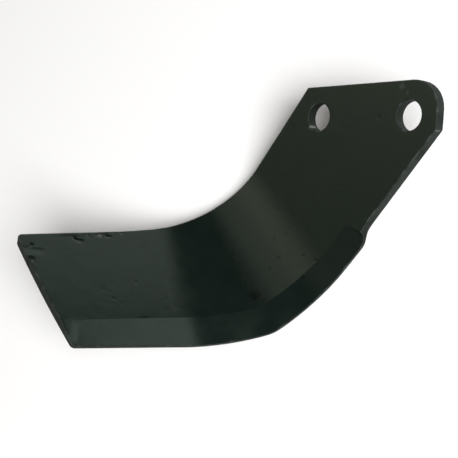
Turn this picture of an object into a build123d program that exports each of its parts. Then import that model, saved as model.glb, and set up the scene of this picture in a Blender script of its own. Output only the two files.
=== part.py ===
"""Rotary tiller blade: one bar of spring steel, punched, bent over a cone and drawn out to a bevelled edge.

Millimetres, +Z up. The blade lies as it comes to rest, rolled onto the outside of its bend with the floor at
Z = 0, and the origin is at the middle of its bounding box there. +X runs along the line on which the bend touches
the floor, towards the cutting edge, and +Y towards the head of the shank.

The blade is laid out flat on the bar's own axes first: x across the bar, towards the cutting edge, and y along
it, away from the bend. Each ruling of the bend starts at the tip of a cone beyond the trailing edge, so the bend
opens out towards the cutting edge and the leg turns within its own plane as well.
"""
from build123d import *
import math
import os

# Bar
BAR_WIDTH = 78.0
THICKNESS = 6.0
HOLE_SKEW = 38.7            # degrees between the line through the holes and square across the bar

# Bolt holes
HOLE_SPACING = 57.0
HOLE_DIAMETER = 14.5
HOLE_RIM = 0.5              # worn chamfer of each rim

# Head of the shank, measured from the point midway between the holes
HEAD_TOP = 16.4             # to the sheared top, square to the hole line
HEAD_TOP_SKEW = 1.2         # degrees by which the shear runs off
HEAD_SIDE = 44.4            # to the squared side beyond the second hole
HEAD_CORNER = 14.0          # radius between top and side
SIDE_CORNER = 1.5           # radius where the side meets the bar's edge

# Conical bend
BEND_START = 66.0           # along the bar, from midway between the holes
BEND_RADIUS = 67.0          # inner face, at the middle of the bar
BEND_TURN = 72.0            # degrees about the cone's axis
CONE_REACH = 338.0          # from the middle of the bar to the cone's tip

# Leg, laid flat
TRAIL_ANGLE = 18.8          # degrees by which the trailing edge turns from the bar
LEG_LENGTH = 212.4          # along the bar, from midway between the holes to the end cut
END_MIDDLE = -22.0          # across the bar, where the end cut is square to the bar
END_BOW = 800.0             # radius of the end cut, which bows very slightly outwards
END_SLANT = 0.7             # how far the shear leaves the outer face longer than the inner
TIP_CORNER = 3.0            # radius of the cutting edge's last corner
BACK_CORNER = 2.5           # worn radius of the trailing edge's last corner

# Cutting edge, laid flat
DRAWN_OUT = 3.1             # how far forging pushes the edge past the bar, at the bend's start
SIDE_TAPER = 1.6            # degrees by which the drawn edge closes in along the bend
CUT_ANGLE = 22.6            # degrees by which the leg's cutting edge turns from the bar
CUT_SETBACK = 8.3           # how much nearer the cone's tip that edge passes than the bar's own edge
CUT_SOFTNESS = 0.5          # how much the corner between the two stretches is eased
STEP_START = 39.5           # along the bar, where the edge starts to step out
STEP_END = 51.0             # along the bar, where it is fully out
STEP_EASE = 0.45            # share of the step over which each of its ends is eased

# Bevel, on the inner face
LAND = 2.0                  # thickness left at the edge
BEVEL_SHANK = 12.5          # width on the shank
BEVEL_CORNER = 15.0         # width from the edge's corner to the bend's end
BEVEL_TIP = 13.5            # width at the leg's end
SCOOP_RADIUS = 11.0         # round end of the bevel on the shank
SCOOP_AT = 46.5             # along the bar, where that end crosses the bevel's inner line
SCOOP_SKEW = 24.0           # degrees by which it runs off square

# Small forms and working values
EDGE_ROUND = 0.6            # rolled edges of the bar, on the trailing side
STATIONS = 13               # sections of the bevel through the bend
OVER = 2.0                  # how far cutters stand over a face
CLEAR = 12.0                # how far cutters reach past an edge
PAST_END = 5.0              # degrees by which the leg's bevel is cut past the end
TOUCH = 0.01                # how near counts as on a line

HALF = BAR_WIDTH / 2
CONE_TIP = Vector(-CONE_REACH, -BEND_START, THICKNESS)
HALF_ANGLE = math.atan2(BEND_RADIUS, CONE_REACH)
CONE_AXIS = Axis(CONE_TIP, (math.cos(HALF_ANGLE), 0, math.sin(HALF_ANGLE)))
TIP_AXIS = Axis(CONE_TIP, (0, 0, 1))
FLAT_TURN = BEND_TURN * math.sin(HALF_ANGLE)      # degrees that the bend takes up when laid flat
TRAIL_REACH = CONE_REACH - HALF
CUT_REACH = CONE_REACH + HALF - CUT_SETBACK
BEVEL_DEPTH = THICKNESS - LAND


def polar(reach, angle):
    """Flat point at a distance from the cone's tip, at an angle in degrees past the bend's start."""
    turn = math.radians(angle)
    return (-CONE_REACH + reach * math.cos(turn), -BEND_START - reach * math.sin(turn))


def leg_reach(angle):
    """Distance from the cone's tip to the straight line of the leg's cutting edge."""
    return CUT_REACH / math.cos(math.radians(CUT_ANGLE - angle))


def edge_reach(angle):
    """Distance from the cone's tip to the cutting edge, with its soft corner."""
    start = (CONE_REACH + HALF + DRAWN_OUT) * math.cos(math.radians(SIDE_TAPER))
    side = start / math.cos(math.radians(angle - SIDE_TAPER))
    leg = leg_reach(angle)
    return (side + leg) / 2 - math.hypot((side - leg) / 2, CUT_SOFTNESS)


def side_edge(along):
    """Place of the drawn edge across the bar, at a distance along the shank."""
    return edge_reach(0) - CONE_REACH + (BEND_START - along) * math.tan(math.radians(SIDE_TAPER))


def bevel_width(angle):
    """Width of the bevel at an angle past the bend's start, widest from the edge's corner to the bend's end."""
    corner = CUT_ANGLE / 3
    if angle < corner:
        return BEVEL_SHANK + (BEVEL_CORNER - BEVEL_SHANK) * angle / corner
    if angle < FLAT_TURN:
        return BEVEL_CORNER
    return BEVEL_CORNER + (BEVEL_TIP - BEVEL_CORNER) * (angle - FLAT_TURN) / (CUT_ANGLE - FLAT_TURN)


def on_trailing_side(edge):
    """Tells whether an edge of the flat layout runs along the trailing side of the bar or the leg."""
    def off_line(point):
        angle = math.degrees(math.atan2(-BEND_START - point.Y, point.X + CONE_REACH))
        reach = math.hypot(-BEND_START - point.Y, point.X + CONE_REACH)
        beyond = max(angle - TRAIL_ANGLE, min(angle, 0))
        return abs(reach * math.cos(math.radians(beyond)) - TRAIL_REACH)
    return all(off_line(edge.position_at(share)) < TOUCH for share in (0, 0.5, 1))


def into_leg(shape):
    """Carries a shape from the flat layout into the leg's plane."""
    return shape.rotate(TIP_AXIS, FLAT_TURN).rotate(CONE_AXIS, -BEND_TURN)


def plate(outline):
    """Thickens a flat outline to the bar's thickness, with the rolled edges on its trailing side."""
    slab = extrude(outline, THICKNESS, dir=(0, 0, 1))
    level = slab.edges().filter_by(lambda e: abs(e.position_at(0).Z - e.position_at(1).Z) < TOUCH)
    return fillet(level.filter_by(on_trailing_side), EDGE_ROUND)


def head():
    """Region under the sheared top and inside the squared side, in the hole line's axes."""
    far = 3 * BAR_WIDTH
    slope = math.tan(math.radians(HEAD_TOP_SKEW))
    corner = (HEAD_SIDE, HEAD_TOP + HEAD_SIDE * slope)
    top = Polyline((-far, HEAD_TOP - far * slope), corner, (HEAD_SIDE, -far), (-far, -far), close=True)
    region = make_face(top)
    return fillet(region.vertices().sort_by_distance((*corner, 0))[0], HEAD_CORNER)


def shank_outline():
    """Bar from the head to the bend's start, with the step where the drawn-out edge begins."""
    far = 2 * BAR_WIDTH
    out = side_edge(STEP_END)
    ease = STEP_EASE * (STEP_END - STEP_START)
    start, end = (HALF, -STEP_START), (out, -STEP_END)
    step = Bezier(start, (HALF, -STEP_START - ease), (out, -STEP_END + ease), end)
    bent = (side_edge(BEND_START), -BEND_START)
    rest = Polyline(end, bent, (-HALF, -BEND_START), (-HALF, far), (HALF, far), start)
    outline = make_face([step, rest]) & head().rotate(Axis.Z, HOLE_SKEW)
    corner = outline.vertices().filter_by(lambda v: abs(v.X - HALF) < TOUCH).sort_by(Axis.Y)[-1]
    return fillet(corner, SIDE_CORNER)


def end_region():
    """Region inside the sheared end, laid flat."""
    return Pos(END_MIDDLE, END_BOW - LEG_LENGTH) * Circle(END_BOW)


def leg_outline():
    """Leg laid flat, from the bend's end to past the end cut, with the trailing edge's arc and straight."""
    past = LEG_LENGTH + CLEAR
    start, finish = polar(TRAIL_REACH, FLAT_TURN), polar(TRAIL_REACH, TRAIL_ANGLE)
    middle = polar(TRAIL_REACH, (FLAT_TURN + TRAIL_ANGLE) / 2)
    back = (finish[0] - (past + finish[1]) * math.tan(math.radians(TRAIL_ANGLE)), -past)
    inner = polar(edge_reach(FLAT_TURN), FLAT_TURN)
    front = (inner[0] - (past + inner[1]) * math.tan(math.radians(CUT_ANGLE)), -past)
    return make_face([ThreePointArc(start, middle, finish), Polyline(finish, back, front, inner, start)])


def end_corners():
    """Waste outside the two rounded corners of the leg's end, laid flat."""
    sharp = leg_outline() & end_region()
    back, front = sharp.vertices().sort_by(Axis.Y)[:2].sort_by(Axis.X)
    worn = fillet(back, BACK_CORNER)
    front = worn.vertices().sort_by_distance(front.center())[0]
    return sharp - fillet(front, TIP_CORNER)


def bevel_section(reach, width, trims_edge):
    """Section to cut away at the bend's start, for an edge at a distance from the cone's tip."""
    edge = reach - CONE_REACH
    slope = BEVEL_DEPTH / width
    top = THICKNESS + OVER
    line_top = (edge - width - OVER / slope, top)
    if trims_edge:
        rim = HALF + 2 * DRAWN_OUT + CLEAR
        corners = [line_top, (edge, LAND), (edge, -OVER), (rim, -OVER), (rim, top)]
    else:
        corners = [line_top, (edge + CLEAR, LAND - CLEAR * slope), (edge + CLEAR, top)]
    section = Plane.XZ * make_face(Polyline(*corners, close=True))
    return Pos(0, -BEND_START, 0) * section


def bend():
    """Bar revolved about the cone's axis, trimmed to the cutting edge and bevelled through its stations."""
    across = BAR_WIDTH + 2 * DRAWN_OUT
    bar = Rectangle(across, THICKNESS)
    bar = fillet(bar.vertices().sort_by(Axis.X)[:2], EDGE_ROUND)
    section = Plane.XZ * Pos(across / 2 - HALF, THICKNESS / 2) * bar
    blank = revolve(Pos(0, -BEND_START, 0) * section, CONE_AXIS, -BEND_TURN)
    stations = []
    for i in range(STATIONS):
        share = i / (STATIONS - 1)
        angle = FLAT_TURN * share
        flat = bevel_section(edge_reach(angle), bevel_width(angle), True)
        stations.append(flat.rotate(CONE_AXIS, -BEND_TURN * share))
    return blank - loft(stations)


def leg():
    """Leg laid flat, sheared, bevelled, and then carried into its plane."""
    blade = plate(leg_outline()) & extrude(end_region(), THICKNESS, dir=(0, END_SLANT, THICKNESS))
    blade -= extrude(end_corners(), THICKNESS, dir=(0, 0, 1))
    far = CUT_ANGLE + PAST_END
    first = bevel_section(edge_reach(FLAT_TURN), bevel_width(FLAT_TURN), False).rotate(TIP_AXIS, -FLAT_TURN)
    final = bevel_section(leg_reach(far), bevel_width(far), False).rotate(TIP_AXIS, -far)
    return into_leg(blade - loft([first, final], ruled=True))


def scoop():
    """Region over the bevel's round end: a cylinder's side that runs out into the shank's inner face."""
    depth = BEVEL_DEPTH + OVER
    bottom = THICKNESS - depth
    run = math.sqrt(SCOOP_RADIUS ** 2 - (SCOOP_RADIUS - depth) ** 2)
    start = run - math.sqrt(SCOOP_RADIUS ** 2 - (SCOOP_RADIUS - depth - OVER) ** 2)
    top = THICKNESS + OVER
    arc = RadiusArc((start, top), (run, bottom), SCOOP_RADIUS)
    rest = Polyline((run, bottom), (BAR_WIDTH, bottom), (BAR_WIDTH, top), (start, top))
    side = make_face([arc, rest])
    inner_line = side_edge(SCOOP_AT) - BEVEL_SHANK
    skew = math.radians(SCOOP_SKEW)
    along = Vector(math.cos(skew), math.sin(skew), 0)
    away = Vector(math.sin(skew), -math.cos(skew), 0)
    place = Plane(origin=(inner_line, -SCOOP_AT, 0), x_dir=away, z_dir=away.cross(Vector(0, 0, 1)))
    return extrude(place * side, BAR_WIDTH, both=True)


def shank():
    """Flat shank with its bolt holes and the run-out of the bevel."""
    blade = plate(shank_outline())
    first = bevel_section(CONE_REACH + side_edge(0), BEVEL_SHANK, False).translate((0, BEND_START, 0))
    final = bevel_section(edge_reach(0), BEVEL_SHANK, False)
    blade -= loft([first, final], ruled=True) & scoop()
    for side in (-1, 1):
        centre = Vector(side * HOLE_SPACING / 2, 0, 0).rotate(Axis.Z, HOLE_SKEW)
        blade -= Pos(*centre) * Cylinder(HOLE_DIAMETER / 2, 4 * THICKNESS)
    round_edges = blade.edges().filter_by(GeomType.CIRCLE)
    rims = round_edges.filter_by(lambda e: abs(e.radius - HOLE_DIAMETER / 2) < TOUCH)
    return chamfer(rims, HOLE_RIM)


def rest_roll(shape):
    """Degrees about the cone's axis that bring the centre of mass over the line on which the bend lies."""
    arm = shape.center(CenterOf.MASS) - CONE_TIP
    below = Vector(math.sin(HALF_ANGLE), 0, -math.cos(HALF_ANGLE))
    return math.degrees(math.atan2(-arm.Y, arm.dot(below)))


def blade():
    """The whole blade at rest on its bend, over the middle of its own footprint."""
    whole = shank() + bend() + leg()
    lying = whole.rotate(CONE_AXIS, rest_roll(whole))
    middle = lying.bounding_box().center()
    return lying.translate((-middle.X, -middle.Y, 0))


os.makedirs("parts", exist_ok=True)
export_step(blade(), "parts/blade.step")
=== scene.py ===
"""Looks of a rotary tiller blade in satin blackened steel, lying on the outside of its bend.

The blade is meshed from the flat layout that it is forged from, in millimetres: x across the bar towards the
cutting edge, y along the bar away from the bend, and z up from the outer face to the inner one. One function
folds that layout over the cone of the bend and lays it on the floor, so the mesh keeps the part's sizes.
"""

import logging
import math
from dataclasses import dataclass, field
from enum import Enum

import bpy
import numpy as np
from mathutils import Matrix, Vector
from mathutils.geometry import delaunay_2d_cdt
from mathutils.kdtree import KDTree

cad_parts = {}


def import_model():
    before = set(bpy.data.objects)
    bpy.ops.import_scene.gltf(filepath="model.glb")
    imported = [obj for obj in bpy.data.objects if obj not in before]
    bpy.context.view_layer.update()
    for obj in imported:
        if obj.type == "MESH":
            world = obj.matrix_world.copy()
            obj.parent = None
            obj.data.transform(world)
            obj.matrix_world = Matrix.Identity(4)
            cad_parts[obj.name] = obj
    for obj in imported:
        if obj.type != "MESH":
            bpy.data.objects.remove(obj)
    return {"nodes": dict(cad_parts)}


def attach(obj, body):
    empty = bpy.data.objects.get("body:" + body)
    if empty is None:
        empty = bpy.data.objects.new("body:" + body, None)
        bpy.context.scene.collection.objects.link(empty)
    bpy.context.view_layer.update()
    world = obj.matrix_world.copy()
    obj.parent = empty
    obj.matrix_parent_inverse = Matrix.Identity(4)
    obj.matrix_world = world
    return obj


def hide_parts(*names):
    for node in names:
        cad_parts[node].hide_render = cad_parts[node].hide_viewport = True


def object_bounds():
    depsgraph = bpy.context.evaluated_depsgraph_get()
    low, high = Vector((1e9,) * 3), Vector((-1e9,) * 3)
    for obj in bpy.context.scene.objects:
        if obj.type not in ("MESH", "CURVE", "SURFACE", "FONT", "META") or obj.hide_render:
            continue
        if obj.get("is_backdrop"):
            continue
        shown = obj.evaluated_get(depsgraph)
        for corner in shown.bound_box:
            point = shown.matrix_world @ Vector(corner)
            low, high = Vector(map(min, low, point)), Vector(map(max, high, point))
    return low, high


LOG = logging.getLogger("tiller_blade")
MM = 0.001

LAYOUT = "layout"       # mesh attribute with each vertex's place in the flat layout, in millimetres
SEEK_ROUNDS = 20        # rounds in which a place that depends on itself settles to well under 0.001 mm
ROW_HEIGHT = 0.87       # height of an even triangle over its side
BEVEL_STEP = 0.13       # flat degrees between points of the bevel's line, about 0.8 mm
PAST_END = 12           # flat degrees by which that line runs on past the leg's end
END_CLEAR = 0.1         # share of the end cut at each end that is left to its rounded corner
VALLEY_POINTS = 26      # points of the line where the scoop meets the bevel
VALLEY_FROM = 0.02      # share of the bevel's depth at its first point
VALLEY_TO = 1.05        # and at its last one, a little past the edge
FILL_HULL = 0           # the triangulation fills the whole hull, and what lies outside is dropped afterwards
SAME_POINT = 1e-5       # millimetres within which it takes two points for one
RIM_DEPTH = 0.5         # millimetres below the inner face within which a wall counts as rim
RIM_RUB = 0.28          # how plainly the skin is rubbed at its rims, at most
WALL_STAIN = 0.8        # how dark the scale on the walls is, at most
WALL_DRIFT = 0.7        # how far a pattern moves across and along the bar per millimetre up a wall
TEAR = (1, 2)           # a sheared wall's marks lie twice as close along the bar as across it
INNER_SIDE = 0.3        # share of the thickness above which a mark of the inner face reaches
BOWL_FLOOR = 0.25       # share of a mark's radius up to which it has its full depth
BOWL_RIM = 1.15         # share at which it has run out
CLOUD_LOW = 0.3         # most of the cloud noise's values lie between these two
CLOUD_HIGH = 0.7
WORN_ROUGHNESS = 0.3    # what full wear adds to the roughness

Place = tuple[float, float]
Box = tuple[Vector, Vector]


class Stretch(Enum):
    """Stretches of the blade's outline, each with its own kind of edge."""

    HEAD = "sheared head"
    CUTTING = "drawn-out cutting edge"
    END = "sheared end"
    ROLLED = "rolled side of the bar"


Corner = tuple[Stretch, Place, float]

# Radius of the edge at each face, in millimetres: small where it was sheared or ground, large where rolled
OUTER_RADII = {Stretch.HEAD: 0.3, Stretch.CUTTING: 0.25, Stretch.END: 0.3, Stretch.ROLLED: 0.6}
INNER_RADII = {Stretch.HEAD: 0.35, Stretch.CUTTING: 0.15, Stretch.END: 0.25, Stretch.ROLLED: 0.6}


class Skin(Enum):
    """What wear does to the skin; each value names the mesh attribute that the finishes read."""

    STAINED = "stained"
    BARED = "bared"
    RUBBED = "rubbed"


class Wear(Enum):
    """Kinds of marks that forging, handling and soil leave in the steel."""

    PIT = "pit in the forging scale"
    STAIN = "darker, slightly sunk patch"
    CHIP = "chip down to bare steel"
    SCUFF = "scuff in the skin"
    FLAKE = "flaked patch, rubbed at its rim"
    DENT = "shallow dent"

    @property
    def skin(self) -> Skin | None:
        """What this mark does to the skin; a dent leaves it whole."""
        return SKIN_OF.get(self)


SKIN_OF = {
    Wear.PIT: Skin.STAINED,
    Wear.STAIN: Skin.STAINED,
    Wear.CHIP: Skin.BARED,
    Wear.SCUFF: Skin.RUBBED,
    Wear.FLAKE: Skin.RUBBED,
}


@dataclass(frozen=True)
class Mark:
    """One mark of wear on the inner face, at a flat place in millimetres.

    It is across wide and stretch times as long, and sinks by depth. Its strength, from 0 to 1, says how
    plainly the skin shows it.
    """

    kind: Wear
    x: float
    y: float
    across: float
    depth: float = 0.0
    stretch: float = 1.0
    strength: float = 1.0


END_CORNER_MARKS = (
    Mark(Wear.PIT, -54.3, -210.4, 3.2, 0.4),
    Mark(Wear.FLAKE, -58.0, -206.8, 5.0, 0.12, 3.0, 0.22),
    Mark(Wear.PIT, -62.0, -206.0, 2.2, 0.25),
)
TRAILING_EDGE_MARKS = (
    Mark(Wear.STAIN, -59.5, -184.0, 3.4, 0.08, 6.0, 0.8),
    Mark(Wear.STAIN, -54.0, -166.5, 4.6, 0.12, 2.6, 0.9),
    Mark(Wear.CHIP, -56.8, -175.2, 1.5, 0.3, 1.0, 0.16),
    Mark(Wear.CHIP, -54.6, -169.0, 1.8, 0.4, 2.0, 0.2),
    Mark(Wear.PIT, -52.0, -164.5, 2.6, 0.35, 1.6),
    Mark(Wear.CHIP, -51.4, -157.2, 1.3, 0.3, 1.6, 0.14),
    Mark(Wear.PIT, -55.5, -180.5, 2.4, 0.3, 1.8),
)
LEG_MARKS = (
    Mark(Wear.DENT, -38.2, -150.3, 4.0, 0.05),
    Mark(Wear.DENT, 1.6, -171.9, 3.6, 0.04, 1.1),
    Mark(Wear.SCUFF, -4.5, -208.0, 16.0, 0.0, 0.4, 0.24),
)
BEND_MARKS = (
    Mark(Wear.STAIN, 19.2, -110.8, 7.0, 0.04),
    Mark(Wear.PIT, -0.4, -83.8, 1.8, 0.16),
    Mark(Wear.PIT, 10.6, -89.1, 1.5, 0.16, 1.5),
    Mark(Wear.PIT, 12.4, -88.0, 1.2, 0.14, 2.0),
    Mark(Wear.PIT, -6.4, -88.1, 1.6, 0.14),
    Mark(Wear.PIT, 3.4, -78.5, 1.6, 0.14, 1.5),
    Mark(Wear.PIT, -19.0, -94.4, 1.6, 0.14),
    Mark(Wear.PIT, 28.7, -84.5, 2.2, 0.16),
    Mark(Wear.PIT, 28.1, -73.1, 2.0, 0.14, 1.6),
    Mark(Wear.PIT, 11.7, -65.5, 1.8, 0.14),
    Mark(Wear.PIT, 11.8, -96.0, 1.8, 0.12),
    Mark(Wear.PIT, 20.5, -77.6, 1.8, 0.12, 1.6),
    Mark(Wear.PIT, 22.8, -82.9, 1.8, 0.12),
    Mark(Wear.PIT, -30.9, -93.1, 1.6, 0.12),
)
SHANK_MARKS = (
    Mark(Wear.PIT, 13.5, -34.4, 2.0, 0.12),
    Mark(Wear.PIT, -12.7, -3.9, 1.8, 0.12),
    Mark(Wear.PIT, -0.2, 4.4, 1.6, 0.1),
    Mark(Wear.PIT, 8.6, 6.8, 2.0, 0.12),
    Mark(Wear.PIT, -34.0, -33.1, 1.8, 0.12),
)
HEAD_MARKS = (
    Mark(Wear.SCUFF, 9.1, 25.4, 2.6, 0.05, 1.6, 0.5),
    Mark(Wear.SCUFF, 14.3, 25.8, 2.0, 0.05, 1.0, 0.4),
    Mark(Wear.CHIP, 39.6, 22.0, 1.8, 0.3, 1.2, 0.8),
    Mark(Wear.CHIP, -23.2, -24.9, 1.3, 0.2, 1.2, 0.6),
)
MARKS = END_CORNER_MARKS + TRAILING_EDGE_MARKS + LEG_MARKS + BEND_MARKS + SHANK_MARKS + HEAD_MARKS


def srgb(code: str, alpha: float = 1.0) -> tuple[float, float, float, float]:
    """Turns a hex colour into linear values.

    Args:
        code: Colour as rrggbb in sRGB.
        alpha: Opacity.

    Returns:
        Linear red, green, blue and alpha.
    """
    parts = [int(code[i:i + 2], 16) / 255 for i in (0, 2, 4)]
    linear = [c / 12.92 if c <= 0.04045 else ((c + 0.055) / 1.055) ** 2.4 for c in parts]
    return (linear[0], linear[1], linear[2], alpha)


def add_node(tree: bpy.types.NodeTree, kind: str, links: dict | None = None,
             **settings: object) -> bpy.types.Node:
    """Adds one node with its settings, socket values and incoming links.

    Args:
        tree: Node tree to add to.
        kind: Blender's name of the node type.
        links: Socket name or number to an output socket that feeds it, or to a plain value.
        **settings: Attributes of the node itself.

    Returns:
        The new node.
    """
    node = tree.nodes.new(kind)
    for name, value in settings.items():
        setattr(node, name, value)
    for name, value in (links or {}).items():
        socket = node.inputs[name]
        if isinstance(value, bpy.types.NodeSocket):
            tree.links.new(value, socket)
        else:
            socket.default_value = value
    return node


@dataclass(frozen=True)
class Grain:
    """One layer of smooth lattice noise over the flat layout, the same on every run."""

    cell: float                     # millimetres
    seed: int
    share: float = 1.0              # greatest value
    low: float = 0.0                # value from which a spot starts
    high: float = 1.0               # value from which it is full
    lattice_size: int = 256
    lattice_shift: float = 91.7     # cells by which the layout's zero lies off the lattice's corner

    def at(self, points: np.ndarray) -> np.ndarray:
        """Works out the noise.

        Args:
            points: Flat points, n by 2, in millimetres.

        Returns:
            Values from -share to share, one for each point.
        """
        size = self.lattice_size
        lattice = np.random.default_rng(self.seed).uniform(-1, 1, (size, size))
        cell = points / self.cell + self.lattice_shift
        base = np.floor(cell).astype(int)
        part = cell - base
        ease = part * part * (3 - 2 * part)
        i = base[:, 0] % (size - 1)
        j = base[:, 1] % (size - 1)
        low = lattice[i, j] * (1 - ease[:, 0]) + lattice[i + 1, j] * ease[:, 0]
        high = lattice[i, j + 1] * (1 - ease[:, 0]) + lattice[i + 1, j + 1] * ease[:, 0]
        return self.share * (low * (1 - ease[:, 1]) + high * ease[:, 1])

    def spots(self, points: np.ndarray) -> np.ndarray:
        """Values from 0 between the spots to 1 in them, at flat points."""
        return smooth_step(self.at(points), self.low, self.high)


def smooth_step(values: np.ndarray, low: float, high: float) -> np.ndarray:
    """Eased ramp from 0 at low to 1 at high."""
    share = np.clip((values - low) / (high - low), 0, 1)
    return share * share * (3 - 2 * share)


def round_corners(points: list[Place], radii: list[float], steps: int = 8) -> list[Place]:
    """Rounds the corners of a closed polygon that have a radius.

    Args:
        points: Corners in order.
        radii: Radius at each corner, 0 to leave it.
        steps: Chords of each arc.

    Returns:
        The polygon with arcs in place of the rounded corners.
    """
    made: list[Place] = []
    count = len(points)
    for i, radius in enumerate(radii):
        here = np.array(points[i])
        if radius <= 0:
            made.append((float(here[0]), float(here[1])))
            continue
        before = np.array(points[i - 1]) - here
        after = np.array(points[(i + 1) % count]) - here
        before = before / np.linalg.norm(before)
        after = after / np.linalg.norm(after)
        half = math.acos(float(np.clip(before @ after, -1, 1))) / 2
        middle = (before + after) / np.linalg.norm(before + after)
        centre = here + middle * radius / math.sin(half)
        first = here + before * radius / math.tan(half) - centre
        last = here + after * radius / math.tan(half) - centre
        sweep = math.pi - 2 * half
        for k in range(steps + 1):
            share = k / steps
            arm = first * math.sin((1 - share) * sweep) + last * math.sin(share * sweep)
            arm = arm / math.sin(sweep)
            made.append((float(centre[0] + arm[0]), float(centre[1] + arm[1])))
    return made


def inside(points: np.ndarray, ring: np.ndarray) -> np.ndarray:
    """Tells which points lie inside a closed ring.

    Args:
        points: Flat points, n by 2.
        ring: Flat points of the ring in order.

    Returns:
        True for each point inside.
    """
    found = np.zeros(len(points), bool)
    ends = np.roll(ring, -1, axis=0)
    for (ax, ay), (bx, by) in zip(ring, ends):
        if ay == by:
            continue
        crosses = (points[:, 1] >= min(ay, by)) & (points[:, 1] < max(ay, by))
        at = ax + (points[:, 1] - ay) * (bx - ax) / (by - ay)
        found ^= crosses & (points[:, 0] < at)
    return found


@dataclass(frozen=True)
class FlatLayout:
    """Sizes of the blade laid flat, in millimetres and degrees, and how the layout folds into the blade."""

    width: float = 78.0
    thickness: float = 6.0
    hole_skew: float = 38.7         # between the line through the holes and square across the bar
    hole_spacing: float = 57.0
    hole_diameter: float = 14.5
    hole_rim: float = 0.5           # worn radius of each rim
    head_top: float = 16.4          # from the line through the holes to the sheared top
    head_top_skew: float = 1.2      # by which the top runs off that line
    head_side: float = 44.4         # from midway between the holes to the squared side
    head_corner: float = 14.0       # radius between top and side
    side_corner: float = 1.5        # radius where the side meets the bar's edge
    bend_start: float = 66.0        # along the bar, from midway between the holes
    bend_radius: float = 67.0       # of the inner face, at the middle of the bar
    bend_turn: float = 72.0         # about the cone's axis
    turn_lag: float = 0.9           # flat degrees by which the bend ends later at the cutting edge
    cone_reach: float = 338.0       # from the middle of the bar to the cone's tip
    trail_angle: float = 18.8       # by which the trailing edge turns from the bar
    leg_length: float = 212.4       # along the bar, to the end cut
    end_middle: float = -22.0       # across the bar, where the end cut is square to it
    end_bow: float = 800.0          # radius of the end cut
    end_slant: float = 0.7          # how much longer the shear leaves the outer face
    tip_corner: float = 3.0         # radius of the cutting edge's last corner
    back_corner: float = 2.5        # worn radius of the trailing edge's last corner
    drawn_out: float = 3.1          # how far forging pushes the edge past the bar
    side_taper: float = 1.6         # by which the drawn edge closes in along the bend
    cut_angle: float = 22.6         # by which the leg's cutting edge turns from the bar
    cut_setback: float = 8.3        # how much nearer the cone's tip that edge passes than the bar's own
    cut_softness: float = 0.5       # how much the corner between the two stretches is eased
    cut_corner: float = 1 / 3       # share of cut_angle at which the bevel has its corner width
    step_start: float = 39.5        # along the bar, where the edge starts to step out
    step_end: float = 51.0          # along the bar, where it is fully out
    step_ease: float = 0.45         # share of the step over which each of its ends is eased
    land: float = 2.0               # thickness left at the edge
    bevel_shank: float = 12.5       # width on the shank
    bevel_corner: float = 15.0      # width from the edge's corner to the bend's end
    bevel_tip: float = 13.5         # width at the leg's end
    scoop_radius: float = 11.0      # hollow run-out of the bevel on the shank
    scoop_at: float = 46.5          # along the bar, where it crosses the bevel's inner line
    scoop_skew: float = 24.0        # by which it runs off square
    step_chords: int = 12
    bend_points: int = 90
    end_points: int = 17
    trail_points: int = 100
    roll: float = 23.6904           # about the cone's axis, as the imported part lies
    middle: Place = (-7.8302, -53.2861)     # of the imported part's footprint, from midway between the holes

    @property
    def half(self) -> float:
        """Half of the bar's width."""
        return self.width / 2

    @property
    def half_angle(self) -> float:
        """Half angle of the bend's cone, in radians."""
        return math.atan2(self.bend_radius, self.cone_reach)

    @property
    def flat_turn(self) -> float:
        """Degrees that the bend takes up when laid flat."""
        return self.bend_turn * math.sin(self.half_angle)

    @property
    def trail_reach(self) -> float:
        """Distance from the cone's tip to the trailing edge."""
        return self.cone_reach - self.half

    @property
    def scoop_run(self) -> float:
        """How far the scoop would run along the bar if it came down to the outer face."""
        return math.sqrt(self.scoop_radius ** 2 - (self.scoop_radius - self.thickness) ** 2)

    def polar(self, reach: float, angle: float) -> Place:
        """Flat point at a distance from the cone's tip, at an angle in degrees past the bend's start."""
        turn = math.radians(angle)
        return (-self.cone_reach + reach * math.cos(turn), -self.bend_start - reach * math.sin(turn))

    def edge_reach(self, angle: np.ndarray | float) -> np.ndarray:
        """Distance from the cone's tip to the cutting edge, with its soft corner.

        Args:
            angle: Degrees past the bend's start.

        Returns:
            Distances in millimetres.
        """
        start = (self.cone_reach + self.half + self.drawn_out) * math.cos(math.radians(self.side_taper))
        side = start / np.cos(np.radians(np.asarray(angle) - self.side_taper))
        straight = self.cone_reach + self.half - self.cut_setback
        leg = straight / np.cos(np.radians(self.cut_angle - np.asarray(angle)))
        return (side + leg) / 2 - np.hypot((side - leg) / 2, self.cut_softness)

    def side_edge(self, along: np.ndarray | float) -> np.ndarray:
        """Place of the drawn edge across the bar, at a distance along the shank."""
        start = float(self.edge_reach(0.0)) - self.cone_reach
        return start + (self.bend_start - np.asarray(along)) * math.tan(math.radians(self.side_taper))

    def bevel_width(self, angle: np.ndarray) -> np.ndarray:
        """Works out how wide the bevel is.

        Args:
            angle: Degrees past the bend's start.

        Returns:
            Widths in millimetres.
        """
        corner = self.cut_angle * self.cut_corner
        marks = [0.0, corner, self.flat_turn, self.cut_angle]
        widths = [self.bevel_shank, self.bevel_corner, self.bevel_corner, self.bevel_tip]
        return np.interp(angle, marks, widths)

    def holes(self) -> list[np.ndarray]:
        """Works out where the two bolt holes are.

        Returns:
            Flat centre of each hole.
        """
        turn = math.radians(self.hole_skew)
        arm = np.array([math.cos(turn), math.sin(turn)]) * self.hole_spacing / 2
        return [-arm, arm]

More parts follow.
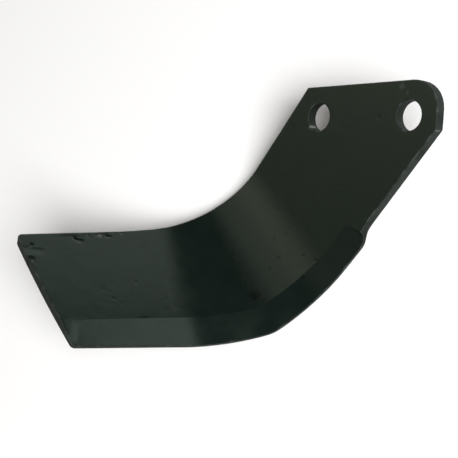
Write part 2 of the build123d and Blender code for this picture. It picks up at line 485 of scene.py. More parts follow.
    def bevel_depths(self, points: np.ndarray) -> tuple[np.ndarray, np.ndarray]:
        """Works out how far the bevel and its scooped run-out come down.

        Args:
            points: Flat points, n by 2.

        Returns:
            Height of the bevel's plane and of the scoop's surface at each point.
        """
        x = points[:, 0]
        y = points[:, 1]
        angle = np.degrees(np.arctan2(-self.bend_start - y, x + self.cone_reach))
        reach = np.hypot(x + self.cone_reach, self.bend_start + y)
        on_shank = angle <= 0
        past = np.maximum(angle, 0)
        inset = np.where(on_shank, self.side_edge(-y) - x, self.edge_reach(past) - reach)
        width = np.where(on_shank, self.bevel_shank, self.bevel_width(past))
        plane = self.land + (self.thickness - self.land) * inset / width
        run = self.scoop_run
        skew = math.radians(self.scoop_skew)
        start = float(self.side_edge(self.scoop_at)) - self.bevel_shank
        away = (x - start) * math.sin(skew) + (-y - self.scoop_at) * math.cos(skew)
        part = np.clip(away - run, -self.scoop_radius, 0)
        scoop = self.scoop_radius - np.sqrt(self.scoop_radius ** 2 - part ** 2)
        return plane, np.where(away < 0, self.thickness, scoop)

    def height(self, points: np.ndarray) -> np.ndarray:
        """Height of the inner face over flat points, with the bevel and its run-out."""
        plane, scoop = self.bevel_depths(points)
        return np.minimum(self.thickness, np.maximum(plane, scoop))

    def turn_end(self, reach: np.ndarray) -> np.ndarray:
        """Flat angle at which the bend runs out, a little later towards the cutting edge."""
        across = (reach - self.trail_reach) / self.width
        return self.flat_turn + self.turn_lag * across

    def fold(self, points: np.ndarray) -> np.ndarray:
        """Folds flat points over the cone of the bend and lays them on the floor.

        Args:
            points: Points in the layout, n by 3, in millimetres.

        Returns:
            Points in the part's own frame, n by 3, in metres.
        """
        tip = np.array([-self.cone_reach, -self.bend_start, self.thickness])
        run = points[:, 0] - tip[0]
        drop = tip[1] - points[:, 1]
        reach = np.hypot(run, drop)
        angle = np.degrees(np.arctan2(drop, run))
        share = np.clip(angle / self.turn_end(reach), 0, 1)
        rest = np.radians(angle - share * self.flat_turn)
        arm = np.stack([reach * np.cos(rest), -reach * np.sin(rest), points[:, 2] - tip[2]], axis=1)
        axis = np.array([math.cos(self.half_angle), 0, math.sin(self.half_angle)])
        turn = np.radians(self.roll - self.bend_turn * share)[:, None]
        along = (arm @ axis)[:, None] * axis
        turned = arm * np.cos(turn) + np.cross(axis, arm) * np.sin(turn) + along * (1 - np.cos(turn))
        placed = tip + turned
        placed[:, :2] -= np.array(self.middle)
        return placed * MM

    def head(self) -> list[Corner]:
        """Works out the sheared head, from the trailing edge round to the bar's side.

        Returns:
            Corners of the head.
        """
        turn = math.radians(self.hole_skew)
        skew = math.radians(self.head_top_skew)
        level = self.head_side
        rise = self.head_top + self.head_side * math.tan(skew)
        top_x = level * math.cos(turn) - rise * math.sin(turn)
        top_y = level * math.sin(turn) + rise * math.cos(turn)
        left = (-self.half, top_y - (top_x + self.half) * math.tan(turn + skew))
        side = (self.half, top_y - (self.half - top_x) / math.tan(turn))
        return [
            (Stretch.HEAD, left, 0.0),
            (Stretch.HEAD, (top_x, top_y), self.head_corner),
            (Stretch.ROLLED, side, self.side_corner),
        ]

    def step_out(self) -> list[Corner]:
        """Works out the eased shoulder where the drawn-out edge steps past the bar's side.

        Returns:
            Points of the shoulder, on one curve with four handles.
        """
        out = float(self.side_edge(self.step_end))
        length = self.step_end - self.step_start
        ease = self.step_ease * length
        made = []
        for k in range(self.step_chords + 1):
            t = k / self.step_chords
            weights = ((1 - t) ** 3, 3 * t * (1 - t) ** 2, 3 * t * t * (1 - t), t ** 3)
            across = sum(w * h for w, h in zip(weights, (self.half, self.half, out, out)))
            along = sum(w * h for w, h in zip(weights, (0.0, ease, length - ease, length)))
            made.append((Stretch.CUTTING, (across, -self.step_start - along), 0.0))
        return made

    def corners(self) -> list[Corner]:
        """Goes round the outline clockwise.

        Returns:
            Corners, each with the stretch that it starts and its radius.
        """
        made = self.head() + self.step_out()
        for angle in np.linspace(0, self.flat_turn, self.bend_points):
            made.append((Stretch.CUTTING, self.polar(float(self.edge_reach(angle)), float(angle)), 0.0))
        front = self.meet_end(made[-1][1], self.cut_angle)
        back = self.meet_end(self.polar(self.trail_reach, self.trail_angle), self.trail_angle)
        made.append((Stretch.END, front, self.tip_corner))
        for share in np.linspace(END_CLEAR, 1 - END_CLEAR, self.end_points):
            x = front[0] + (back[0] - front[0]) * float(share)
            made.append((Stretch.END, (x, self.end_line(x)), 0.0))
        made.append((Stretch.ROLLED, back, self.back_corner))
        for angle in np.linspace(self.trail_angle, 0, self.trail_points):
            made.append((Stretch.ROLLED, self.polar(self.trail_reach, float(angle)), 0.0))
        return made

    def end_line(self, x: float) -> float:
        """Place along the bar of the bowed end cut, at a place across it."""
        return self.end_bow - self.leg_length - math.sqrt(self.end_bow ** 2 - (x - self.end_middle) ** 2)

    def meet_end(self, start: Place, angle: float) -> Place:
        """Finds where a straight edge of the leg meets the end cut.

        Args:
            start: Point on the edge.
            angle: Degrees by which the edge turns from the bar.

        Returns:
            The flat corner.
        """
        y = -self.leg_length
        for _ in range(SEEK_ROUNDS):
            x = start[0] - (start[1] - y) * math.tan(math.radians(angle))
            y = self.end_line(x)
        return (x, y)


@dataclass
class Outline:
    """The blade's outline as a dense ring of flat points, with its inward directions and kinds of edge."""

    layout: FlatLayout
    step: float = 0.8
    points: np.ndarray = field(init=False)
    inward: np.ndarray = field(init=False)
    stretches: list[Stretch] = field(init=False)

    def __post_init__(self) -> None:
        """Rounds the corners and divides the stretches."""
        corners = self.layout.corners()
        dense: list[Place] = []
        kinds: list[Stretch] = []
        for i, (kind, _, radius) in enumerate(corners):
            around = [corners[i - 1][1], corners[i][1], corners[(i + 1) % len(corners)][1]]
            piece = round_corners(around, [0.0, radius, 0.0])[1:-1]
            dense += piece
            kinds += [kind] * len(piece)
        made: list[Place] = []
        self.stretches = []
        for i, here in enumerate(dense):
            there = dense[(i + 1) % len(dense)]
            parts = max(1, round(math.dist(here, there) / self.step))
            for k in range(parts):
                share = k / parts
                x = here[0] + (there[0] - here[0]) * share
                y = here[1] + (there[1] - here[1]) * share
                made.append((x, y))
                self.stretches.append(kinds[i])
        self.points = np.array(made)
        ahead = np.roll(self.points, -1, axis=0) - self.points
        ahead /= np.linalg.norm(ahead, axis=1)[:, None]
        both = ahead + np.roll(ahead, 1, axis=0)
        both /= np.linalg.norm(both, axis=1)[:, None]
        self.inward = np.stack([both[:, 1], -both[:, 0]], axis=1)

    def along(self, values: dict[Stretch, float], blur: int = 3) -> np.ndarray:
        """Spreads one value for each stretch round the ring, with soft changes.

        Args:
            values: Value of each stretch.
            blur: Points over which a change is eased.

        Returns:
            One value for each point.
        """
        flat = np.array([values[s] for s in self.stretches])
        return sum(np.roll(flat, k) for k in range(-blur, blur + 1)) / (2 * blur + 1)


@dataclass
class ForgedBlade:
    """The whole blade: shank with its bolt holes, conical bend, leg, bevelled edge, and the wear on them."""

    layout: FlatLayout
    outline: Outline
    grain: float = 0.8              # side of the face's triangles, in millimetres
    grain_near: float = 0.55        # share of it that the net keeps clear of edges and creases
    hole_steps: int = 96
    wall_rows: int = 6
    round_steps: int = 7
    least_area: float = 1e-4
    sharp_from: float = 13.2        # degrees from which a crease is drawn sharp
    scale_relief: float = 0.02
    pit_depth: float = 0.05
    shear_depth: float = 0.06
    wear: tuple[Mark, ...] = MARKS
    ragged: tuple[Grain, ...] = (Grain(1.1, 21, 0.4), Grain(2.7, 23, 0.45))
    scale_skin: tuple[Grain, ...] = (Grain(7.0, 3, 0.6), Grain(2.9, 5, 0.3), Grain(1.4, 8, 0.2))
    fine_pits: Grain = Grain(2.3, 31, low=0.62, high=0.8)
    pitted_fields: Grain = Grain(17, 33, low=0.0, high=0.5)
    shear_marks: Grain = Grain(3.1, 41)
    shear_from: float = 0.6         # height over the outer face times depth under the inner one
    shear_full: float = 2.0
    rim_rub: Grain = Grain(2.2, 51, low=0.05, high=0.6)
    wall_scale: Grain = Grain(6.0, 53, low=-0.2, high=0.5)
    vertices: list[np.ndarray] = field(default_factory=list)
    faces: list[tuple[int, ...]] = field(default_factory=list)
    wall_faces: int = 0
    wall_points: int = 0
    total: int = 0

    def add_points(self, points: np.ndarray) -> int:
        """Adds layout points to the mesh.

        Args:
            points: Points in the layout, n by 3.

        Returns:
            Vertex number of the first one.
        """
        first = self.total
        self.vertices.append(points)
        self.total += len(points)
        return first

    def wall(self, ring: np.ndarray, inward: np.ndarray, low: np.ndarray, high: np.ndarray, top: np.ndarray,
             slant: np.ndarray) -> tuple[np.ndarray, np.ndarray]:
        """Builds the wall between the two faces along a closed ring, with an eased edge at each face.

        Args:
            ring: Flat points of the ring.
            inward: Direction into the steel at each point.
            low: Radius of the edge at the outer face.
            high: Radius of the edge at the inner face.
            top: Height of the inner face along the ring.
            slant: How far the wall leans into the steel over the full thickness.

        Returns:
            Vertex numbers of the ring on the outer face and on the inner face.
        """
        arc = np.linspace(0, math.pi / 2, self.round_steps + 1)
        rows = [(low * (1 - math.sin(a)), low * (1 - math.cos(a))) for a in arc]
        for k in range(1, self.wall_rows):
            share = k / self.wall_rows
            rows.append((0 * low, low + (top - high - low) * share))
        rows += [(high * (1 - math.cos(a)), top - high * (1 - math.sin(a))) for a in arc]
        count = len(ring)
        starts = []
        for offset, height in rows:
            lean = offset + slant * height / self.layout.thickness
            starts.append(self.add_points(np.column_stack([ring + inward * lean[:, None], height])))
        for a, b in zip(starts, starts[1:]):
            for i in range(count):
                j = (i + 1) % count
                self.faces.append((a + i, b + i, b + j, a + j))
        numbers = np.arange(count)
        return starts[0] + numbers, starts[-1] + numbers

    def flat_of(self, numbers: np.ndarray) -> np.ndarray:
        """Flat places of vertices that were added."""
        return np.concatenate(self.vertices)[numbers][:, :2]

    def bevel_line(self) -> list[Place]:
        """Works out where the bevel starts on the inner face.

        Returns:
            Flat points from the run-out along the shank, round the bend and past the end of the leg.
        """
        lay = self.layout
        made = []
        for along in np.arange(lay.scoop_at, lay.bend_start, self.grain):
            made.append((float(lay.side_edge(along)) - lay.bevel_shank, -along))
        for angle in np.arange(0, lay.cut_angle + PAST_END, BEVEL_STEP):
            reach = float(lay.edge_reach(angle) - lay.bevel_width(np.array(angle)))
            made.append(lay.polar(reach, float(angle)))
        return made

    def crest_line(self, origin: np.ndarray) -> list[np.ndarray]:
        """Works out where the scoop starts on the inner face, from the bevel's line out to the edge.

        Args:
            origin: Flat point where the bevel's line ends on the shank.

        Returns:
            Flat points from the origin outwards.
        """
        skew = math.radians(self.layout.scoop_skew)
        along = np.array([math.cos(skew), math.sin(skew)])
        reach = self.layout.bevel_shank + self.layout.drawn_out
        return [origin, *(origin + along * s for s in np.arange(self.grain, reach, self.grain))]

    def valley_line(self, origin: np.ndarray) -> list[Place]:
        """Works out where the scoop meets the bevel's plane.

        Args:
            origin: Flat point where the bevel's line ends on the shank.

        Returns:
            Flat points from the origin outwards.
        """
        lay = self.layout
        skew = math.radians(lay.scoop_skew)
        made = [tuple(origin)]
        for share in np.linspace(VALLEY_FROM, VALLEY_TO, VALLEY_POINTS):
            level = lay.thickness - (lay.thickness - lay.land) * share
            away = lay.scoop_run - math.sqrt(lay.scoop_radius ** 2 - (lay.scoop_radius - level) ** 2)
            y = -lay.scoop_at
            for _ in range(SEEK_ROUNDS):
                x = float(lay.side_edge(-y)) - lay.bevel_shank * (1 - share)
                y = -lay.scoop_at - (away - (x - origin[0]) * math.sin(skew)) / math.cos(skew)
            made.append((x, y))
        return made

    def crease_lines(self) -> list[np.ndarray]:
        """Gathers the creases of the inner face.

        Returns:
            Flat points of each crease.
        """
        lay = self.layout
        origin = np.array([float(lay.side_edge(lay.scoop_at)) - lay.bevel_shank, -lay.scoop_at])
        lines = [self.bevel_line(), self.crest_line(origin), self.valley_line(origin)]
        return [np.array(line) for line in lines]

    def net(self, edge: np.ndarray, fixed: np.ndarray) -> np.ndarray:
        """Lays an even net over a face, clear of the holes and of the points that are fixed already.

        Args:
            edge: Flat ring round the face.
            fixed: Flat points on the face's rings and creases.

        Returns:
            Flat points of the net.
        """
        low = edge.min(axis=0)
        high = edge.max(axis=0)
        made = []
        for k, y in enumerate(np.arange(low[1], high[1], self.grain * ROW_HEIGHT)):
            xs = np.arange(low[0] + (k % 2) * self.grain / 2, high[0], self.grain)
            made.append(np.column_stack([xs, np.full(len(xs), y)]))
        grid = np.concatenate(made)
        grid = grid[inside(grid, edge)]
        for centre in self.layout.holes():
            clear = self.layout.hole_diameter / 2 + self.layout.hole_rim
            grid = grid[np.hypot(*(grid - centre).T) > clear]
        tree = KDTree(len(fixed))
        for i, point in enumerate(fixed):
            tree.insert((point[0], point[1], 0), i)
        tree.balance()
        near = self.grain_near * self.grain
        return grid[np.array([tree.find((p[0], p[1], 0))[2] > near for p in grid])]

    def face_sheet(self, rings: list[np.ndarray], creases: list[np.ndarray], outer: bool) -> None:
        """Fills one face between the outline and the holes with a fine, even net.

        Args:
            rings: Vertex numbers of the outline's ring, then of each hole's ring.
            creases: Flat lines that the net follows.
            outer: Whether this is the outer face, which looks down.
        """
        ring_numbers = np.concatenate(rings)
        edge = self.flat_of(rings[0])
        lines = [line[inside(line, edge)] for line in creases]
        fixed = np.concatenate([self.flat_of(ring_numbers), *lines])
        points = np.concatenate([fixed, self.net(edge, fixed)])
        edges = []
        start = 0
        for ring in rings:
            edges += [(start + i, start + (i + 1) % len(ring)) for i in range(len(ring))]
            start += len(ring)
        for line in lines:
            edges += [(start + i, start + i + 1) for i in range(len(line) - 1)]
            start += len(line)
        made = delaunay_2d_cdt([Vector(p) for p in points], edges, [], FILL_HULL, SAME_POINT, True)
        places = np.array([(v.x, v.y) for v in made[0]])
        triangles = np.array(made[2])
        numbers = np.full(len(places), -1)
        for i, origins in enumerate(made[3]):
            for origin in origins:
                if origin < len(ring_numbers):
                    numbers[i] = ring_numbers[origin]
        fresh = numbers < 0
        height = np.zeros(fresh.sum()) if outer else self.layout.height(places[fresh])
        first = self.add_points(np.column_stack([places[fresh], height]))
        numbers[fresh] = first + np.arange(fresh.sum())
        centres = places[triangles].mean(axis=1)
        sides = places[triangles[:, 1:]] - places[triangles[:, :1]]
        area = np.abs(sides[:, 0, 0] * sides[:, 1, 1] - sides[:, 0, 1] * sides[:, 1, 0]) / 2
        keep = inside(centres, edge) & (area > self.least_area)
        for ring in rings[1:]:
            keep &= ~inside(centres, self.flat_of(ring))
        for a, b, c in numbers[triangles[keep]]:
            self.faces.append((c, b, a) if outer else (a, b, c))

    def bowl(self, mark: Mark, points: np.ndarray, ragged: np.ndarray) -> np.ndarray:
        """Works out where one mark lies, longest along the leg's edge or, on the shank, along the bar.

        Args:
            mark: The mark.
            points: Points in the layout.
            ragged: How ragged its rim is at each point, about 1.

        Returns:
            Values from 0 outside the mark to 1 in its middle, on the inner side of the steel only.
        """
        turn = math.radians(self.layout.cut_angle if mark.y < -self.layout.bend_start else 90)
        dx = points[:, 0] - mark.x
        dy = points[:, 1] - mark.y
        long = (dx * math.sin(turn) + dy * math.cos(turn)) / mark.stretch
        wide = dx * math.cos(turn) - dy * math.sin(turn)
        far = np.hypot(long, wide) * ragged / (mark.across / 2)
        inner_side = points[:, 2] > self.layout.thickness * INNER_SIDE
        return (1 - smooth_step(far, BOWL_FLOOR, BOWL_RIM)) * inner_side

    def marks(self, points: np.ndarray) -> tuple[np.ndarray, dict[Skin, np.ndarray]]:
        """Works out the marks of wear.

        Args:
            points: Points in the layout.

        Returns:
            How deep each point is sunk, in millimetres, and how plainly the skin shows each kind of wear.
        """
        flat = points[:, :2]
        depth = np.zeros(len(points))
        shown = {skin: np.zeros(len(points)) for skin in Skin}
        ragged = 1 + sum(grain.at(flat) for grain in self.ragged)
        for mark in self.wear:
            bowl = self.bowl(mark, points, ragged)
            depth += bowl * mark.depth
            skin = mark.kind.skin
            if skin is not None:
                shown[skin] = np.maximum(shown[skin], bowl * mark.strength)
        on_wall = np.arange(len(points)) < self.wall_points
        by_rim = on_wall & (self.layout.height(flat) - points[:, 2] < RIM_DEPTH)
        rubbed = self.rim_rub.spots(flat) * RIM_RUB
        scaled = self.wall_scale.spots(flat) * WALL_STAIN
        shown[Skin.RUBBED] = np.maximum(shown[Skin.RUBBED], rubbed * by_rim)
        shown[Skin.STAINED] = np.maximum(shown[Skin.STAINED], scaled * (on_wall & ~by_rim))
        return depth, shown

    def relief(self, points: np.ndarray) -> np.ndarray:
        """Works out the forging scale, its fine pits and the roughness of the sheared walls.

        Args:
            points: Points in the layout.

        Returns:
            How far each point lies over the skin's highest spots, in millimetres, so never above 0.
        """
        flat = points[:, :2] + points[:, 2:] * WALL_DRIFT
        highest = sum(grain.share for grain in self.scale_skin)
        lift = sum(grain.at(flat) for grain in self.scale_skin) - highest
        pitted = self.fine_pits.spots(flat) * self.pitted_fields.spots(flat)
        inset = points[:, 2] * (self.layout.height(points[:, :2]) - points[:, 2])
        torn = 1 - self.shear_marks.at(flat * TEAR)
        sheared = smooth_step(inset, self.shear_from, self.shear_full) * torn
        return lift * self.scale_relief - pitted * self.pit_depth - sheared * self.shear_depth

    def walls(self) -> tuple[list[np.ndarray], list[np.ndarray]]:
        """Builds the walls round the outline and in the bolt holes.

        Returns:
            Vertex numbers of each ring on the outer face, and of each ring on the inner face.
        """
        lay = self.layout
        out = self.outline
        low = out.along(OUTER_RADII)
        high = out.along(INNER_RADII)
        slant = out.along({kind: lay.end_slant if kind is Stretch.END else 0 for kind in Stretch})
        top = lay.height(out.points + out.inward * high[:, None])
        outer_ring, inner_ring = self.wall(out.points, out.inward, low, high, top, slant)
        outer_rings = [outer_ring]
        inner_rings = [inner_ring]
        turns = np.linspace(0, 2 * math.pi, self.hole_steps, endpoint=False)
        arms = np.column_stack([np.cos(turns), np.sin(turns)])
        ones = np.ones(self.hole_steps)
        rim = lay.hole_rim * ones
        for centre in lay.holes():
            ring = centre + arms * lay.hole_diameter / 2
            lower, upper = self.wall(ring, arms, rim, rim, lay.thickness * ones, 0 * ones)
            outer_rings.append(lower)
            inner_rings.append(upper)
        self.wall_faces = len(self.faces)
        self.wall_points = self.total
        return outer_rings, inner_rings

    def build(self, box: Box) -> bpy.types.Object:
        """Builds the mesh, folds it and gives it its marks.

        Args:
            box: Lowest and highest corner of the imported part, which the mesh stays in.

        Returns:
            The blade as one object, in metres, in the part's frame.
        """
        outer_rings, inner_rings = self.walls()
        self.face_sheet(outer_rings, [], True)
        self.face_sheet(inner_rings, self.crease_lines(), False)
        flat = np.concatenate(self.vertices)
        folded = self.layout.fold(flat)
        mesh = bpy.data.meshes.new("blade_steel")
        mesh.from_pydata(folded.tolist(), [], self.faces)
        mesh.validate()
        mesh.update()
        normals = np.zeros(len(flat) * 3)
        mesh.vertices.foreach_get("normal", normals)
        sunk, shown = self.marks(flat)
        shape = folded + normals.reshape(-1, 3) * ((self.relief(flat) - sunk) * MM)[:, None]
        shape = np.clip(shape, box[0], box[1])
        mesh.vertices.foreach_set("co", shape.astype(np.float32).ravel())
        for skin, values in shown.items():
            kept = mesh.attributes.new(skin.value, "FLOAT", "POINT")
            kept.data.foreach_set("value", values.astype(np.float32))
        place = mesh.attributes.new(LAYOUT, "FLOAT_VECTOR", "POINT")
        place.data.foreach_set("vector", flat.astype(np.float32).ravel())
        mesh.polygons.foreach_set("use_smooth", np.ones(len(mesh.polygons), bool))
        mesh.set_sharp_from_angle(angle=math.radians(self.sharp_from))
        mesh.update()
        made = bpy.data.objects.new("blade_steel", mesh)
        bpy.context.scene.collection.objects.link(made)
        return made

    def dress(self, made: bpy.types.Object) -> None:
        """Gives the faces and the sheared walls their finishes.

        Args:
            made: The blade as built.
        """
        mesh = made.data
        mesh.materials.append(BlackenedForging().material())
        mesh.materials.append(ShearedSteel().material())
        on_wall = np.arange(len(mesh.polygons)) < self.wall_faces
        mesh.polygons.foreach_set("material_index", on_wall.astype(np.int32))


@dataclass(frozen=True)
class BlackenedForging:
    """Spring steel, hot forged and then dipped in black lacquer over its scale.

    The eye gets a near black with a green cast, soft clouds where the lacquer lies thicker, and a satin
    gloss that mirrors the studio as broad, blurred patches. A lacquer is no metal, so metallic stays at 0
    but for the chips, the IOR stays at the usual 1.5, and the roughness starts from 0.2.
    """

    name: str = "blackened_spring_steel"
    deep: str = "0b1311"
    pale: str = "121a16"
    scuffed: str = "3c423d"
    stain: str = "080c0b"
    bare: str = "8e918e"
    roughness: float = 0.18
    smoother: float = 0.03          # how much less roughness the deep clouds have
    rougher: float = 0.04           # and how much more the pale ones
    sheen_tint: str = "eaffec"
    gloss: float = 0.5
    cloud: float = 12.0             # millimetres across one cloud of thicker lacquer
    grit: float = 0.9               # millimetres; real scale is near 0.3, too fine to show, so it is coarser
    grit_depth: float = 0.012       # millimetres
    grit_strength: float = 0.6

    def masked(self, tree: bpy.types.NodeTree, skin: Skin, under: bpy.types.NodeSocket,
               colour: str) -> bpy.types.NodeSocket:
        """Lays one colour over another where the skin shows a kind of wear.

        Args:
            tree: The material's node tree.
            skin: Kind of wear.
            under: Colour below.
            colour: Hex colour of the wear.

        Returns:
            Output with the mixed colour.
        """
        mask = add_node(tree, "ShaderNodeAttribute", attribute_name=skin.value).outputs["Fac"]
        mix = add_node(tree, "ShaderNodeMix", data_type="RGBA")
        tree.links.new(mask, mix.inputs["Factor"])
        tree.links.new(under, mix.inputs["A"])
        mix.inputs["B"].default_value = srgb(colour)
        return mix.outputs["Result"]

    def material(self) -> bpy.types.Material:
        """Makes the material.

        Returns:
            The finish, with its wear.
        """
        made = bpy.data.materials.new(self.name)
        made.use_nodes = True
        tree = made.node_tree
        shader = tree.nodes["Principled BSDF"]
        place = add_node(tree, "ShaderNodeAttribute", attribute_name=LAYOUT).outputs["Vector"]
        clouds = add_node(tree, "ShaderNodeTexNoise", {
            "Vector": place, "Scale": 1 / self.cloud, "Detail": 4.0,
        }).outputs["Fac"]
        mix = add_node(tree, "ShaderNodeMix", {"Factor": clouds}, data_type="RGBA")
        mix.inputs["A"].default_value = srgb(self.deep)
        mix.inputs["B"].default_value = srgb(self.pale)
        colour = self.masked(tree, Skin.STAINED, mix.outputs["Result"], self.stain)
        colour = self.masked(tree, Skin.RUBBED, colour, self.scuffed)
        colour = self.masked(tree, Skin.BARED, colour, self.bare)
        tree.links.new(colour, shader.inputs["Base Color"])
        bared = add_node(tree, "ShaderNodeAttribute", attribute_name=Skin.BARED.value).outputs["Fac"]
        rubbed = add_node(tree, "ShaderNodeAttribute", attribute_name=Skin.RUBBED.value).outputs["Fac"]
        tree.links.new(bared, shader.inputs["Metallic"])
        rough = add_node(tree, "ShaderNodeMapRange", {
            "Value": clouds, "From Min": CLOUD_LOW, "From Max": CLOUD_HIGH,
            "To Min": self.roughness - self.smoother, "To Max": self.roughness + self.rougher,
        }).outputs["Result"]
        for mask in (rubbed, bared):
            links = {0: mask, 1: WORN_ROUGHNESS, 2: rough}
            worn = add_node(tree, "ShaderNodeMath", links, operation="MULTIPLY_ADD", use_clamp=True)
            rough = worn.outputs["Value"]
        tree.links.new(rough, shader.inputs["Roughness"])
        shader.inputs["Specular IOR Level"].default_value = self.gloss
        shader.inputs["Specular Tint"].default_value = srgb(self.sheen_tint)
        grit = add_node(tree, "ShaderNodeTexNoise", {
            "Vector": place, "Scale": 1 / self.grit, "Detail": 3.0,
        }).outputs["Fac"]
        bump = add_node(tree, "ShaderNodeBump", {
            "Height": grit, "Strength": self.grit_strength, "Distance": self.grit_depth * MM,
        })
        tree.links.new(bump.outputs["Normal"], shader.inputs["Normal"])
        return made


@dataclass(frozen=True)
class ShearedSteel(BlackenedForging):
    """The same steel where the shear and the punch cut it: torn walls under thin, dull black scale.

    The eye gets a rough, paler grey that mirrors nothing and shows the steel at its worn rims. Scale is no
    metal either, and its roughness starts from 0.6.
    """

    name: str = "sheared_edge_scale"
    deep: str = "151917"
    pale: str = "2a2f2c"
    scuffed: str = "5a5f5b"
    stain: str = "141715"
    bare: str = "9a9d99"
    roughness: float = 0.62
    gloss: float = 0.12
    cloud: float = 4.0              # millimetres across one patch of scale
    grit: float = 0.8               # millimetres; torn grains are near 0.2, so they are drawn coarser
    grit_depth: float = 0.06        # millimetres


@dataclass(frozen=True)
class WhiteCard:
    """Matt white card: it gives the eye an even, nearly white floor that holds the shadow without a shine.

    Paper is no metal, its roughness starts from 0.9, and its faint gloss is turned down to 0.1.
    """

    name: str = "matt_white_card"
    colour: str = "f6f6f6"
    roughness: float = 0.95
    gloss: float = 0.1

    def material(self) -> bpy.types.Material:
        """Makes the material.

        Returns:
            The card's finish.
        """
        made = bpy.data.materials.new(self.name)
        made.use_nodes = True
        shader = made.node_tree.nodes["Principled BSDF"]
        shader.inputs["Base Color"].default_value = srgb(self.colour)
        shader.inputs["Roughness"].default_value = self.roughness
        shader.inputs["Specular IOR Level"].default_value = self.gloss
        return made


@dataclass(frozen=True)
class SoftPanel:
    """A broad, weakly lit panel of the studio, far off, that the satin skin mirrors as a soft patch.

    Angles are in degrees: where its middle stands, how far it spreads, and over how much its rim fades out,
    half of that inside the spread and half outside.
    """

    azimuth: float
    elevation: float
    spread: float
    fade: float
    light: float
    tint: str = "ffffff"

    @property
    def direction(self) -> Vector:
        """Works out which way the panel stands.

        Returns:
            Direction from the blade to the panel's middle.
        """
        turn = math.radians(self.azimuth)
        rise = math.radians(self.elevation)
        return Vector((math.cos(turn) * math.cos(rise), math.sin(turn) * math.cos(rise), math.sin(rise)))

    def add(self, tree: bpy.types.NodeTree, ray: bpy.types.NodeSocket) -> bpy.types.NodeSocket:
        """Adds the panel's light to the world.

        Args:
            tree: The world's node tree.
            ray: Direction that is looked up.

        Returns:
            Output with the panel's light in that direction.
        """
        links = {0: ray, 1: self.direction}
        towards = add_node(tree, "ShaderNodeVectorMath", links, operation="DOT_PRODUCT")
        outer = self.spread + self.fade / 2
        inner = max(self.spread - self.fade / 2, 0)
        ramp = add_node(tree, "ShaderNodeMapRange", {
            "Value": towards.outputs["Value"], "From Min": math.cos(math.radians(outer)),
            "From Max": math.cos(math.radians(inner)), "To Min": 0.0, "To Max": self.light,
        }, interpolation_type="SMOOTHSTEP")
        links = {0: srgb(self.tint)[:3], "Scale": ramp.outputs["Result"]}
        return add_node(tree, "ShaderNodeVectorMath", links, operation="SCALE").outputs["Vector"]


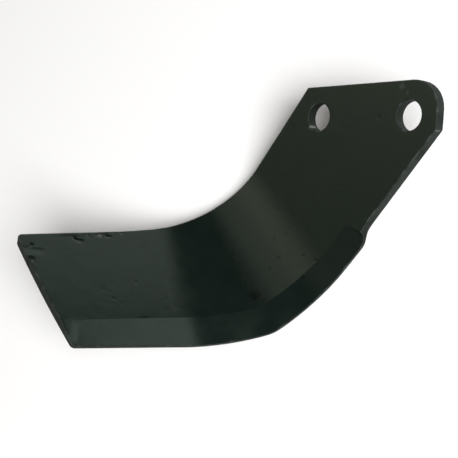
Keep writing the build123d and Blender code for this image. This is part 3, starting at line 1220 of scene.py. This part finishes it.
@dataclass(frozen=True)
class Studio:
    """White floor, a low pale wall all round, a dim ceiling with weak panels, and a key light."""

    floor_size: float = 40.0
    wall_light: float = 0.5
    wall_top: float = 9.0
    wall_fade: float = 8.0
    ceiling_light: float = 0.02
    shank_panel: SoftPanel = SoftPanel(-131, 36, 16, 24, 0.27, "fff8e2")
    bend_panel: SoftPanel = SoftPanel(-156, 49, 0, 62, 0.6, "fff5ea")
    bevel_panel: SoftPanel = SoftPanel(-80, 45, 14, 24, 0.17, "fff4e0")
    leg_bevel_panel: SoftPanel = SoftPanel(79, 27, 9, 3, 1.15)
    leg_panel: SoftPanel = SoftPanel(135, 5, 25.6, 3, 0.8)
    key_at: tuple[float, float, float] = (1.75, 0.8, 1.85)
    key_size: float = 1.5
    key_power: float = 115.0
    lens: float = 70.802
    film_width: float = 36.0
    camera_at: tuple[float, float, float] = (0.24314, 0.09258, 0.42666)
    camera_right: tuple[float, float, float] = (0.44234, 0.75726, -0.48049)
    camera_up: tuple[float, float, float] = (-0.73823, 0.61166, 0.2844)

    def camera(self) -> None:
        """Makes the camera and sets it on the scene."""
        data = bpy.data.cameras.new("camera")
        data.lens = self.lens
        data.sensor_width = self.film_width
        data.clip_start = 0.01
        data.clip_end = 20.0
        right = Vector(self.camera_right).normalized()
        up = Vector(self.camera_up).normalized()
        turn = Matrix((right, up, right.cross(up))).transposed()
        made = bpy.data.objects.new("camera", data)
        made.matrix_world = Matrix.Translation(self.camera_at) @ turn.to_4x4()
        bpy.context.scene.collection.objects.link(made)
        bpy.context.scene.camera = made

    def floor(self) -> None:
        """Makes the floor of matt white card."""
        half = self.floor_size / 2
        corners = [(-half, -half, 0), (half, -half, 0), (half, half, 0), (-half, half, 0)]
        mesh = bpy.data.meshes.new("floor")
        mesh.from_pydata(corners, [], [(0, 1, 2, 3)])
        mesh.materials.append(WhiteCard().material())
        made = bpy.data.objects.new("floor", mesh)
        bpy.context.scene.collection.objects.link(made)
        made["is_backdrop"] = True

    def key_light(self) -> None:
        """Adds the square softbox on the camera's side, so that the shadow falls behind the blade."""
        data = bpy.data.lights.new("key_light", "AREA")
        data.shape = "SQUARE"
        data.size = self.key_size
        data.energy = self.key_power
        made = bpy.data.objects.new("key_light", data)
        place = Vector(self.key_at)
        turn = place.to_track_quat("Z", "Y").to_matrix().to_4x4()
        made.matrix_world = Matrix.Translation(place) @ turn
        bpy.context.scene.collection.objects.link(made)

    def world(self) -> None:
        """Sets the low wall, the dim ceiling and the panels as the world's light."""
        world = bpy.data.worlds.new("studio")
        world.use_nodes = True
        tree = world.node_tree
        ray = add_node(tree, "ShaderNodeTexCoord").outputs["Generated"]
        height = add_node(tree, "ShaderNodeSeparateXYZ", {"Vector": ray}).outputs["Z"]
        low = math.sin(math.radians(self.wall_top - self.wall_fade / 2))
        high = math.sin(math.radians(self.wall_top + self.wall_fade / 2))
        plain = add_node(tree, "ShaderNodeMapRange", {
            "Value": height, "From Min": low, "From Max": high,
            "To Min": self.wall_light, "To Max": self.ceiling_light,
        }, interpolation_type="SMOOTHSTEP").outputs["Result"]
        links = {"X": plain, "Y": plain, "Z": plain}
        total = add_node(tree, "ShaderNodeCombineXYZ", links).outputs["Vector"]
        panels = (self.shank_panel, self.bend_panel, self.bevel_panel, self.leg_bevel_panel, self.leg_panel)
        for panel in panels:
            links = {0: total, 1: panel.add(tree, ray)}
            total = add_node(tree, "ShaderNodeVectorMath", links).outputs["Vector"]
        tree.links.new(total, tree.nodes["Background"].inputs["Color"])
        bpy.context.scene.world = world

    def build(self) -> None:
        """Builds the floor, the lights and the camera."""
        self.floor()
        self.world()
        self.key_light()
        self.camera()


def main() -> None:
    """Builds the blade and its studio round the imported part."""
    logging.basicConfig(level=logging.INFO, format="%(message)s")
    bpy.context.scene.view_settings.view_transform = "Standard"
    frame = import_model()
    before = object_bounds()
    LOG.info("packed part: nodes %s", sorted(frame["nodes"]))
    layout = FlatLayout()
    maker = ForgedBlade(layout, Outline(layout))
    blade = maker.build(before)
    maker.dress(blade)
    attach(blade, "root")
    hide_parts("blade")
    LOG.info("%s: %d faces, %d of them in its walls", blade.name, len(blade.data.polygons), maker.wall_faces)
    Studio().build()
    LOG.info("studio: floor, key light, world and camera")


if __name__ == "__main__":
    main()
